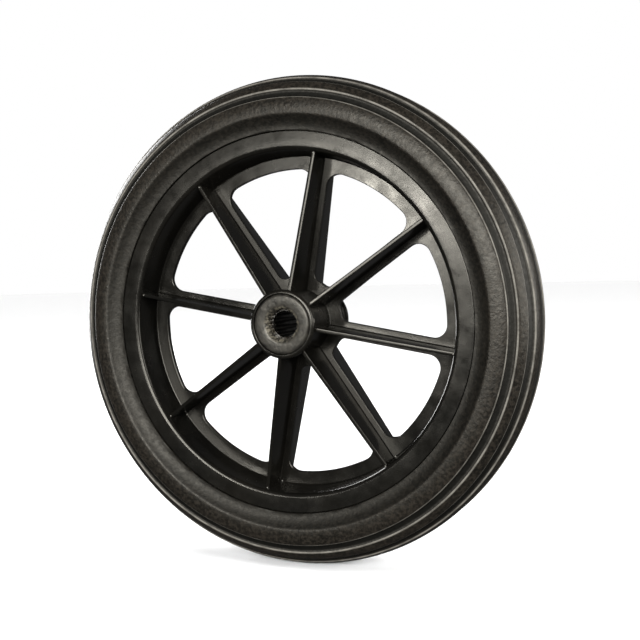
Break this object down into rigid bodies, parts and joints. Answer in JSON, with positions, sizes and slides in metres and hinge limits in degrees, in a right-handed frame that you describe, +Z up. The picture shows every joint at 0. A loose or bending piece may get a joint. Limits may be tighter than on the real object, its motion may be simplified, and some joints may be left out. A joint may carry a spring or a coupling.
{
  "type": "spoked wheel",
  "caption": "Moulded plastic spoked wheel with a ribbed rubber tyre, a ribbed hub and a caged roller bearing for a plain axle.",
  "frame": {"origin": "centre of the wheel, on the axle line halfway between the two hub faces", "axes": "+Y along the axle towards the rear hub face, the front face looks along -Y, +Z up and +X to the right as seen from the front"},
  "size_m": [0.3036, 0.0608, 0.3036],
  "materials": {
    "tyre_rubber": "matt black rubber, fine grain",
    "moulded_plastic": "satin black moulded plastic",
    "cap_plastic": "matt dark grey moulded plastic",
    "cage_plastic": "matt dark nylon",
    "shell_steel": "drawn steel, oiled",
    "roller_steel": "ground steel, greased"
  },
  "bodies": {
    "wheel": {"wheel_centre": "moulded_plastic", "tyre": "tyre_rubber", "bearing_shell": "shell_steel", "front_cap": "cap_plastic", "rear_cap": "cap_plastic"},
    "cage": {"roller_cage": "cage_plastic"},
    "roller_01": {"roller_01": "roller_steel"},
    "roller_02": {"roller_02": "roller_steel"},
    "roller_03": {"roller_03": "roller_steel"},
    "roller_04": {"roller_04": "roller_steel"},
    "roller_05": {"roller_05": "roller_steel"},
    "roller_06": {"roller_06": "roller_steel"},
    "roller_07": {"roller_07": "roller_steel"},
    "roller_08": {"roller_08": "roller_steel"},
    "roller_09": {"roller_09": "roller_steel"},
    "roller_10": {"roller_10": "roller_steel"},
    "roller_11": {"roller_11": "roller_steel"},
    "roller_12": {"roller_12": "roller_steel"}
  },
  "joints": [
    {"name": "cage_spin", "type": "hinge", "parent": "wheel", "child": "cage", "pos_m": [0, 0, 0], "axis": [0, 1, 0], "continuous": true},
    {"name": "roller_01_spin", "type": "hinge", "parent": "cage", "child": "roller_01", "pos_m": [0.00818, 0, 0.00575], "axis": [0, 1, 0], "continuous": true},
    {"name": "roller_02_spin", "type": "hinge", "parent": "cage", "child": "roller_02", "pos_m": [0.00421, 0, 0.00907], "axis": [0, 1, 0], "continuous": true},
    {"name": "roller_03_spin", "type": "hinge", "parent": "cage", "child": "roller_03", "pos_m": [-0.00089, 0, 0.00996], "axis": [0, 1, 0], "continuous": true},
    {"name": "roller_04_spin", "type": "hinge", "parent": "cage", "child": "roller_04", "pos_m": [-0.00575, 0, 0.00818], "axis": [0, 1, 0], "continuous": true},
    {"name": "roller_05_spin", "type": "hinge", "parent": "cage", "child": "roller_05", "pos_m": [-0.00907, 0, 0.00421], "axis": [0, 1, 0], "continuous": true},
    {"name": "roller_06_spin", "type": "hinge", "parent": "cage", "child": "roller_06", "pos_m": [-0.00996, 0, -0.00089], "axis": [0, 1, 0], "continuous": true},
    {"name": "roller_07_spin", "type": "hinge", "parent": "cage", "child": "roller_07", "pos_m": [-0.00818, 0, -0.00575], "axis": [0, 1, 0], "continuous": true},
    {"name": "roller_08_spin", "type": "hinge", "parent": "cage", "child": "roller_08", "pos_m": [-0.00421, 0, -0.00907], "axis": [0, 1, 0], "continuous": true},
    {"name": "roller_09_spin", "type": "hinge", "parent": "cage", "child": "roller_09", "pos_m": [0.00089, 0, -0.00996], "axis": [0, 1, 0], "continuous": true},
    {"name": "roller_10_spin", "type": "hinge", "parent": "cage", "child": "roller_10", "pos_m": [0.00575, 0, -0.00818], "axis": [0, 1, 0], "continuous": true},
    {"name": "roller_11_spin", "type": "hinge", "parent": "cage", "child": "roller_11", "pos_m": [0.00907, 0, -0.00421], "axis": [0, 1, 0], "continuous": true},
    {"name": "roller_12_spin", "type": "hinge", "parent": "cage", "child": "roller_12", "pos_m": [0.00996, 0, 0.00089], "axis": [0, 1, 0], "continuous": true}
  ],
  "couplings": [
    {"joint": "roller_01_spin", "follows": "cage_spin", "ratio": -6.025},
    {"joint": "roller_02_spin", "follows": "cage_spin", "ratio": -6.025},
    {"joint": "roller_03_spin", "follows": "cage_spin", "ratio": -6.025},
    {"joint": "roller_04_spin", "follows": "cage_spin", "ratio": -6.025},
    {"joint": "roller_05_spin", "follows": "cage_spin", "ratio": -6.025},
    {"joint": "roller_06_spin", "follows": "cage_spin", "ratio": -6.025},
    {"joint": "roller_07_spin", "follows": "cage_spin", "ratio": -6.025},
    {"joint": "roller_08_spin", "follows": "cage_spin", "ratio": -6.025},
    {"joint": "roller_09_spin", "follows": "cage_spin", "ratio": -6.025},
    {"joint": "roller_10_spin", "follows": "cage_spin", "ratio": -6.025},
    {"joint": "roller_11_spin", "follows": "cage_spin", "ratio": -6.025},
    {"joint": "roller_12_spin", "follows": "cage_spin", "ratio": -6.025}
  ]
}
